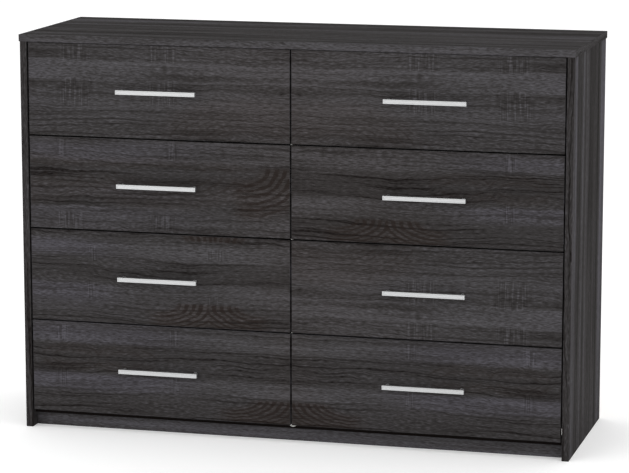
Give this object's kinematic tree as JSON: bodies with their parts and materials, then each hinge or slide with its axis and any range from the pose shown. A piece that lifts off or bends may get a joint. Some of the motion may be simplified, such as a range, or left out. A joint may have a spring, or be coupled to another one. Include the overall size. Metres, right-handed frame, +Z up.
{
  "type": "dresser with drawers",
  "caption": "Low wide dresser: thin top just over full-height sides, recessed plinth, and side-by-side columns of inset flat drawers with slim bar handles, on roller runners.",
  "frame": {"origin": "on the floor, at the middle of the footprint with the handles included", "axes": "+X to the right seen from the front, +Y to the back, +Z up; drawers pull out towards -Y"},
  "size_m": [1.205, 0.415, 0.8605],
  "materials": {
    "oak_laminate": "matte dark grey oak-grain laminate",
    "box_board": "plain light grey foil on particle board",
    "hardboard": "grey printed face, brown rear face",
    "handle_metal": "satin",
    "runner_steel": "white epoxy powder coat",
    "zinc_fittings": "bright zinc plate",
    "nylon": "moulded natural nylon"
  },
  "bodies": {
    "carcass": {"top_panel": "oak_laminate", "left_side_panel": "oak_laminate", "right_side_panel": "oak_laminate", "bottom_panel": "oak_laminate", "centre_partition": "oak_laminate", "front_plinth": "oak_laminate", "rear_plinth": "oak_laminate", "left_back_panel": "hardboard", "right_back_panel": "hardboard", "bottom_buffer": "nylon", "outer_runner_left_1": "runner_steel", "inner_runner_left_1": "runner_steel", "outer_runner_left_2": "runner_steel", "inner_runner_left_2": "runner_steel", "outer_runner_left_3": "runner_steel", "inner_runner_left_3": "runner_steel", "outer_runner_left_4": "runner_steel", "inner_runner_left_4": "runner_steel", "outer_runner_right_1": "runner_steel", "inner_runner_right_1": "runner_steel", "outer_runner_right_2": "runner_steel", "inner_runner_right_2": "runner_steel", "outer_runner_right_3": "runner_steel", "inner_runner_right_3": "runner_steel", "outer_runner_right_4": "runner_steel", "inner_runner_right_4": "runner_steel"},
    "drawer_left_1": {"drawer_front_left_1": "oak_laminate", "drawer_box_left_1": "box_board", "drawer_bottom_left_1": "hardboard", "handle_left_1": "handle_metal"},
    "drawer_left_2": {"drawer_front_left_2": "oak_laminate", "drawer_box_left_2": "box_board", "drawer_bottom_left_2": "hardboard", "handle_left_2": "handle_metal"},
    "drawer_left_3": {"drawer_front_left_3": "oak_laminate", "drawer_box_left_3": "box_board", "drawer_bottom_left_3": "hardboard", "handle_left_3": "handle_metal"},
    "drawer_left_4": {"drawer_front_left_4": "oak_laminate", "drawer_box_left_4": "box_board", "drawer_bottom_left_4": "hardboard", "handle_left_4": "handle_metal"},
    "drawer_right_1": {"drawer_front_right_1": "oak_laminate", "drawer_box_right_1": "box_board", "drawer_bottom_right_1": "hardboard", "handle_right_1": "handle_metal"},
    "drawer_right_2": {"drawer_front_right_2": "oak_laminate", "drawer_box_right_2": "box_board", "drawer_bottom_right_2": "hardboard", "handle_right_2": "handle_metal"},
    "drawer_right_3": {"drawer_front_right_3": "oak_laminate", "drawer_box_right_3": "box_board", "drawer_bottom_right_3": "hardboard", "handle_right_3": "handle_metal"},
    "drawer_right_4": {"drawer_front_right_4": "oak_laminate", "drawer_box_right_4": "box_board", "drawer_bottom_right_4": "hardboard", "handle_right_4": "handle_metal"}
  },
  "joints": [
    {"name": "drawer_left_1_slide", "type": "slide", "parent": "carcass", "child": "drawer_left_1", "axis": [0, -1, 0], "range_m": [0, 0.26]},
    {"name": "drawer_left_2_slide", "type": "slide", "parent": "carcass", "child": "drawer_left_2", "axis": [0, -1, 0], "range_m": [0, 0.26]},
    {"name": "drawer_left_3_slide", "type": "slide", "parent": "carcass", "child": "drawer_left_3", "axis": [0, -1, 0], "range_m": [0, 0.26]},
    {"name": "drawer_left_4_slide", "type": "slide", "parent": "carcass", "child": "drawer_left_4", "axis": [0, -1, 0], "range_m": [0, 0.26]},
    {"name": "drawer_right_1_slide", "type": "slide", "parent": "carcass", "child": "drawer_right_1", "axis": [0, -1, 0], "range_m": [0, 0.26]},
    {"name": "drawer_right_2_slide", "type": "slide", "parent": "carcass", "child": "drawer_right_2", "axis": [0, -1, 0], "range_m": [0, 0.26]},
    {"name": "drawer_right_3_slide", "type": "slide", "parent": "carcass", "child": "drawer_right_3", "axis": [0, -1, 0], "range_m": [0, 0.26]},
    {"name": "drawer_right_4_slide", "type": "slide", "parent": "carcass", "child": "drawer_right_4", "axis": [0, -1, 0], "range_m": [0, 0.26]}
  ]
}
